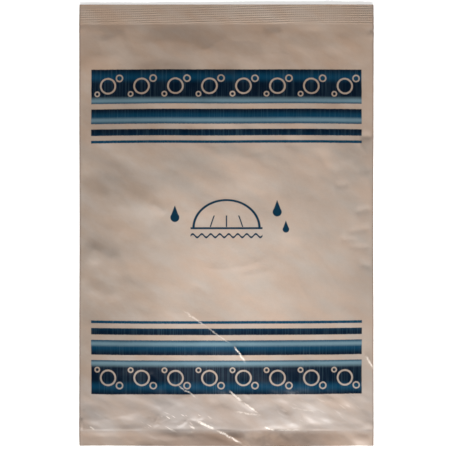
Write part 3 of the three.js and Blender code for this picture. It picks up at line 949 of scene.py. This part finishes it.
def crimp_mesh():
    """The fused crimp: fine horizontal ribs with a shallow serration across them."""
    cols, rows = 601, 80
    x = np.linspace(-50, 50, cols)
    y = np.linspace(68.2, 75.0, rows)
    X, Y = np.meshgrid(x, y)
    zc = crimp_level(X) - 1.05 * ((Y - 68.2) / 6.8) ** 1.3
    tilt = 0.026 * np.minimum(X, 31.0 + 3.0 * np.tanh((X - 31.0) / 6.0))
    tilt = tilt + 0.10 * lattice_noise(X, 0.0, 22.0, 61) + 0.05 * lattice_noise(X, 4.0, 8.0, 62)
    s = (Y - 68.2 - tilt) / 0.80
    top = 73.6 + 1.5 * smooth((X + 45) / 70.0)
    on = smooth((Y - 68.3) / 0.3) * smooth((top + 0.25 - Y) / 0.5)
    amp = 0.046 * (1 + 0.5 * lattice_noise(X, Y, 9.0, 63))
    ribs = amp * np.sin(2 * np.pi * s)
    comb = np.sin(2 * np.pi * X / 0.68 + 0.5 * np.sin(2 * np.pi * s))
    ribs *= 1 + 0.75 * comb
    teeth = 0.036 * comb
    wob = 0.10 * lattice_noise(X, Y, 7.0, 64) * smooth((Y - 68.3) / 2.0)
    z = zc + on * (ribs + teeth) + wob
    half = 0.05
    front = np.stack([X, Y, z + half], -1).reshape(-1, 3)
    back = np.stack([X, Y, z - half], -1).reshape(-1, 3)
    n = rows * cols
    rim = np.concatenate(
        [
            np.arange(cols),
            np.arange(2 * cols - 1, n, cols),
            np.arange(n - 2, n - cols - 1, -1),
            np.arange(n - 2 * cols, 0, -cols),
        ]
    )
    nxt = np.roll(rim, -1)
    faces = np.concatenate(
        [
            grid_faces(rows, cols),
            grid_faces(rows, cols, n, flip=True),
            np.stack([rim, rim + n, nxt + n, nxt], -1),
        ]
    )
    uv = np.stack([X / W + 0.5, Y / L + 0.5], -1).reshape(-1, 2)
    return make_object(
        "crimp", np.concatenate([front, back]), faces, [PLAIN], None, np.concatenate([uv, uv])
    )


crimp = crimp_mesh()


def weld_mesh():
    """The thin raised bead of the bottom weld, along the film."""
    x = FILM[0, R_WELD, :, 0]
    zf, zb = FILM[0, R_WELD, :, 2], FILM[1, R_WELD, :, 2]
    ang = np.linspace(0, 2 * np.pi, 12, endpoint=False)
    wide = 0.24 * (1 + 0.3 * lattice_noise(x, 0.0, 4.0, 71))
    tall = 0.07 * (1 + 0.3 * lattice_noise(x, 5.0, 3.0, 72))
    mid = 0.5 * (zf + zb) - 0.01 + 0.05 * lattice_noise(x, 9.0, 5.0, 73)
    pts = np.stack(
        [
            np.repeat(x[:, None], 12, 1),
            -69.7 + wide[:, None] * np.cos(ang)[None],
            mid[:, None] + (tall + 0.03)[:, None] * np.sin(ang)[None],
        ],
        -1,
    )
    n = len(x)
    faces = grid_faces(n, 12, flip=False, wrap=True)
    caps = [list(range(11, -1, -1)), [(n - 1) * 12 + k for k in range(12)]]
    me = bpy.data.meshes.new("weld_bead")
    me.from_pydata((pts.reshape(-1, 3) * MM).tolist(), [], faces[:, ::-1].tolist() + [c[::-1] for c in caps])
    me.polygons.foreach_set("use_smooth", np.ones(len(me.polygons), bool))
    me.materials.append(WELD_MAT)
    layer = me.uv_layers.new(name="film")
    corner = np.zeros(len(me.loops), np.int32)
    me.loops.foreach_get("vertex_index", corner)
    flat = pts.reshape(-1, 3)
    uv = np.stack([flat[:, 0] / W + 0.5, flat[:, 1] / L + 0.5], -1).astype(np.float32)
    layer.uv.foreach_set("vector", uv[corner].ravel())
    me.update()
    ob = bpy.data.objects.new("weld_bead", me)
    bpy.context.scene.collection.objects.link(ob)
    return ob


weld = weld_mesh()


# --------------------------------------------------------------- folded cap
def film_over(x, y):
    """Height of the front film over a point."""
    r = np.interp(y, FRONT_UV[:, 100, 1], np.arange(len(f_rows)))
    c = np.interp(x, FRONT_UV[50, :, 0], np.arange(len(f_cols)))
    i = np.minimum(r.astype(int), len(f_rows) - 2)
    j = np.minimum(c.astype(int), len(f_cols) - 2)
    a, b = r - i, c - j
    Z = FRONT[..., 2]
    return (Z[i, j] * (1 - b) + Z[i, j + 1] * b) * (1 - a) + (Z[i + 1, j] * (1 - b) + Z[i + 1, j + 1] * b) * a


def press(pos):
    """Presses the cap thinner where the film lies low over it, at its corners and ends."""
    z = pos[..., 2]
    room = (film_over(pos[..., 0], pos[..., 1]) - 0.40 - 0.25) / 3.3
    return np.stack([pos[..., 0], pos[..., 1], 0.25 + (z - 0.25) * np.clip(room, 0.3, 1.0)], -1)


CAP_HALF, CAP_Y0, CAP_Y1 = 39.5, -50.5, 52.0
PITCH, Z_CAP = 0.6, 0.65
HEM_Y = [-50.9 - 1.35 - 3.0 * k for k in range(3)]


def gathers(x, y):
    """Small pleats that run from the elastic into the crown and die out."""
    fade = np.exp(-np.clip(y - CAP_Y0, 0, None) / 13.0)
    px = x + 0.8 * lattice_noise(x, y, 9.0, 81)
    p = 0.30 * np.sin(2 * np.pi * px / 2.7) + 0.22 * np.sin(2 * np.pi * px / 4.3 + 1.0)
    g = fade * p + 0.16 * lattice_noise(x, y, 9.0, 82) + 0.10 * lattice_noise(x, y, 4.0, 83)
    return g * smooth((40.2 - np.abs(x)) / 6.0)


def crown_mesh():
    """The crown film, letter-folded in three and folded across once."""
    r = PITCH / 2
    bx = CAP_HALF - r - 0.15
    line = []
    for k in range(3):
        d = -1 if k % 2 else 1
        level = (k - 1) * PITCH
        for t in np.linspace(-d * bx, d * bx, 90):
            line.append((t, level, 0.0, float(d)))
        if k < 2:
            for a in np.linspace(-np.pi / 2, np.pi / 2, 7)[1:-1]:
                line.append(
                    (d * (bx + r * np.cos(a)), level + r + r * np.sin(a), -np.cos(a), -d * np.sin(a))
                )
    line = np.array(line)
    stack = 2 * PITCH + 0.3
    fold = (stack + 0.3) / 2
    z0 = Z_CAP + stack / 2
    st = [(y, z0, 0.0) for y in np.linspace(CAP_Y0, CAP_Y1, 80)]
    for a in np.linspace(0, np.pi, 10)[1:-1]:
        st.append((CAP_Y1 + fold * np.sin(a), z0 + fold - fold * np.cos(a), a))
    st += [(y, z0 + 2 * fold, np.pi) for y in np.linspace(CAP_Y1, CAP_Y0, 80)]
    st = np.array(st)
    a = st[:, 2][:, None]
    X = np.repeat(line[:, 0][None], len(st), 0)
    Y = st[:, 0][:, None] - line[:, 1][None] * np.sin(a)
    Z = st[:, 1][:, None] + line[:, 1][None] * np.cos(a)
    Z = Z_CAP + 0.1 + 0.74 * (Z - Z_CAP) + gathers(X, Y)
    pos = press(np.stack([X, Y, np.maximum(Z, 0.2)], -1))
    nor = grid_normals(pos)
    half = 0.02
    rows, cols = pos.shape[:2]
    n = rows * cols
    faces = [grid_faces(rows, cols), grid_faces(rows, cols, n, flip=True)]
    rim = np.concatenate(
        [
            np.arange(cols),
            np.arange(2 * cols - 1, n, cols),
            np.arange(n - 2, n - cols - 1, -1),
            np.arange(n - 2 * cols, 0, -cols),
        ]
    )
    nxt = np.roll(rim, -1)
    faces.append(np.stack([rim, rim + n, nxt + n, nxt], -1))
    verts = np.concatenate([(pos + nor * half).reshape(-1, 3), (pos - nor * half).reshape(-1, 3)])
    return make_object("cap_crown", verts, np.concatenate(faces), [CAP_MAT])


def hem_mesh(k):
    """One run of the gathered hem: a scrunched tunnel round the elastic."""
    m, n = 360, 28
    x = np.linspace(-35.5, 35.5, m)
    th = np.linspace(0, 2 * np.pi, n, endpoint=False)
    X, T = np.meshgrid(x, th, indexing="ij")
    px = X + 0.5 * lattice_noise(X, T * 1.5, 3.0, 90 + k)
    pleat = np.sin(2 * np.pi * px / 2.2 + 1.3 * np.sin(T + k)) + 0.5 * np.sin(
        2 * np.pi * px / 1.37 + 2.0 * np.cos(T)
    )
    swell = 1 + 0.13 * pleat + 0.10 * lattice_noise(X, T * 2, 4.0, 94 + k)
    hy, hz, mid = 1.12, 0.95, Z_CAP + 1.0
    Y = HEM_Y[k] + hy * swell * np.cos(T)
    Z = mid + hz * swell * np.sin(T)
    pos = np.stack([X, Y, Z], -1)
    inner = np.stack(
        [X, HEM_Y[k] + (hy * swell - 0.06) * np.cos(T), mid + (hz * swell - 0.06) * np.sin(T)],
        -1,
    )
    q = grid_faces(m, n, 0, wrap=True)
    count = m * n
    faces = [q[:, ::-1], q + count]
    i = np.arange(n)
    j = (i + 1) % n
    faces.append(np.stack([i, j, j + count, i + count], -1)[:, ::-1])
    e = (m - 1) * n
    faces.append(np.stack([i + e, i + count + e, j + count + e, j + e], -1)[:, ::-1])
    return make_object(
        f"cap_hem_{k + 1}",
        press(np.concatenate([pos.reshape(-1, 3), inner.reshape(-1, 3)])),
        np.concatenate(faces),
        [CAP_MAT],
    )


def elastic_mesh():
    """The endless elastic thread through the three hem runs, on two levels."""
    zu, zd, E = Z_CAP + 1.28, Z_CAP + 0.72, 36.0
    pts = []

    def between(side, ya, za, yb, zb):
        rad = np.hypot(ya - yb, za - zb) / 2
        for a in np.linspace(0, np.pi, 17):
            pts.append(
                (
                    side * (E + rad * np.sin(a)),
                    (ya + yb) / 2 + (ya - yb) / 2 * np.cos(a),
                    (za + zb) / 2 + (za - zb) / 2 * np.cos(a),
                )
            )

    y1, y2, y3 = HEM_Y
    between(1, y1, zu, y2, zu)
    between(-1, y2, zu, y3, zu)
    between(1, y3, zu, y3, zd)
    between(-1, y3, zd, y2, zd)
    between(1, y2, zd, y1, zd)
    between(-1, y1, zd, y1, zu)
    ends = np.array(pts)
    p = []
    for a, b in zip(ends, np.roll(ends, -1, 0)):
        k = max(1, int(np.linalg.norm(b - a) / 2.0))
        p.extend(a + (b - a) * t for t in np.arange(k) / k)
    p = np.array(p)
    t = np.roll(p, -1, 0) - np.roll(p, 1, 0)
    t /= np.linalg.norm(t, axis=1, keepdims=True)
    ref = np.array([0, 0.6, 0.8])
    a = ref - t * (t @ ref)[:, None]
    a /= np.linalg.norm(a, axis=1, keepdims=True)
    b = np.cross(t, a)
    th = np.linspace(0, 2 * np.pi, 14, endpoint=False)
    ring = p[:, None] + 0.25 * (a[:, None] * np.cos(th)[None, :, None] + b[:, None] * np.sin(th)[None, :, None])
    m, n = len(p), 14
    i = np.arange(m)[:, None]
    j = np.arange(n)[None]
    q = np.stack(
        [i * n + j, i * n + (j + 1) % n, ((i + 1) % m) * n + (j + 1) % n, ((i + 1) % m) * n + j], -1
    ).reshape(-1, 4)
    return make_object("cap_elastic", press(ring.reshape(-1, 3)), q, [ELASTIC_MAT])


crown = crown_mesh()
hems = [hem_mesh(k) for k in range(3)]
elastic = elastic_mesh()

# --------------------------------------------------------------------- frame
for ob in (front, back, weld):
    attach(ob, "sachet")
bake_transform(lip)
for ob in (strip_front, strip_back, crimp):
    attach(ob, "tear_strip")
for ob in (crown, *hems, elastic):
    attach(ob, "folded_cap")

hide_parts("front_film")
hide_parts("back_film", "back_lip")
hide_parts("bottom_weld")
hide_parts("front_lip")
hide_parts("strip_front_film")
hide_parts("strip_back_film")
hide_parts("crimp_front_ply", "crimp_back_ply")
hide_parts("crown_film")
for k, ob in enumerate(hems):
    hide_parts(f"hem_run_{k + 1}")
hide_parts("elastic_loop")

# --------------------------------------------------------------- the setting
scene = bpy.context.scene
scene.view_settings.view_transform = "Standard"
scene.view_settings.look = "None"

cam_data = bpy.data.cameras.new("camera")
cam_data.lens = 135.0
cam_data.sensor_width = 36.0
cam_data.clip_start, cam_data.clip_end = 0.01, 20.0
cam = bpy.data.objects.new("camera", cam_data)
scene.collection.objects.link(cam)
SPAN = 0.1522
cam.location = (-0.0005, 0.0, SPAN * cam_data.lens / cam_data.sensor_width + 0.004)
cam.rotation_euler = (0, 0, 0)
scene.camera = cam

floor_mat = Net("floor")
floor_mat.bsdf.inputs["Roughness"].default_value = 0.9
floor_mat.bsdf.inputs["Specular IOR Level"].default_value = 0.0
floor_mat.bsdf.inputs["Emission Color"].default_value = (1, 1, 1, 1)
floor_mat.bsdf.inputs["Emission Strength"].default_value = 0.36
tc = floor_mat.tree.nodes.new("ShaderNodeTexCoord")
fn = floor_mat.noise(tc.outputs["Object"], 6.0, 2.0, 0.5)
floor_mat.put(
    floor_mat.bsdf.inputs["Base Color"],
    floor_mat.ramp(fn, [(0.3, (0.96, 0.96, 0.96, 1)), (0.7, (0.98, 0.98, 0.98, 1))], "LINEAR"),
)
me = bpy.data.meshes.new("floor")
me.from_pydata([(-3, -3, 0), (3, -3, 0), (3, 3, 0), (-3, 3, 0)], [], [(0, 1, 2, 3)])
me.materials.append(floor_mat.mat)
floor = bpy.data.objects.new("floor", me)
scene.collection.objects.link(floor)


def area_light(name, place, size, watts, color=(1, 1, 1), aim=(0, 0, 0)):
    d = bpy.data.lights.new(name, "AREA")
    d.shape = "RECTANGLE"
    d.size, d.size_y = size
    d.energy = watts
    d.color = color
    o = bpy.data.objects.new(name, d)
    o.location = place
    direction = np.array(aim, float) - np.array(place, float)
    o.rotation_euler = Vector(direction).to_track_quat("-Z", "Y").to_euler()
    scene.collection.objects.link(o)
    return o


area_light("front", (0.10, -1.00, 0.66), (0.9, 0.4), 18.0)
area_light("back", (0.0, 1.00, 0.62), (1.2, 0.4), 2.4)
area_light("glint", (-0.34, -0.52, 0.50), (0.08, 0.08), 1.0)


def spot(name, place, aim, degrees, watts):
    d = bpy.data.lights.new(name, "SPOT")
    d.energy = watts
    d.spot_size = np.radians(degrees)
    d.spot_blend = 1.0
    d.shadow_soft_size = 0.012
    o = bpy.data.objects.new(name, d)
    o.location = place
    o.rotation_euler = (Vector(aim) - Vector(place)).to_track_quat("-Z", "Y").to_euler()
    scene.collection.objects.link(o)


LAMP = (0.03, -0.50, 0.43)
spot("key", LAMP, (0.000, -0.010, 0.0), 6.8, 13.2)
spot("key_up", LAMP, (0.019, 0.0335, 0.0), 5.9, 10.1)
spot("key_right", LAMP, (0.062, -0.014, 0.0), 9.5, 9.9)
spot("key_low", LAMP, (0.014, -0.074, 0.0), 9.5, 9.6)
spot("key_left", LAMP, (-0.033, -0.008, 0.0), 9.2, 7.2)

world = bpy.data.worlds.new("world")
world.use_nodes = True
scene.world = world
wt = world.node_tree
bg = wt.nodes["Background"]
tcw = wt.nodes.new("ShaderNodeTexCoord")
sep = wt.nodes.new("ShaderNodeSeparateXYZ")
wt.links.new(tcw.outputs["Generated"], sep.inputs[0])
wr = wt.nodes.new("ShaderNodeValToRGB")
e = wr.color_ramp.elements
e[0].position, e[0].color = 0.0, (0.70, 0.70, 0.70, 1)
e[1].position, e[1].color = 0.74, (0.02, 0.02, 0.02, 1)
for z, level in ((0.15, 0.80), (0.34, 1.15), (0.52, 0.90)):
    k = e.new(z)
    k.color = (level, level, level, 1)
wt.links.new(sep.outputs["Z"], wr.inputs[0])
wt.links.new(wr.outputs[0], bg.inputs["Color"])
bg.inputs["Strength"].default_value = 1.0
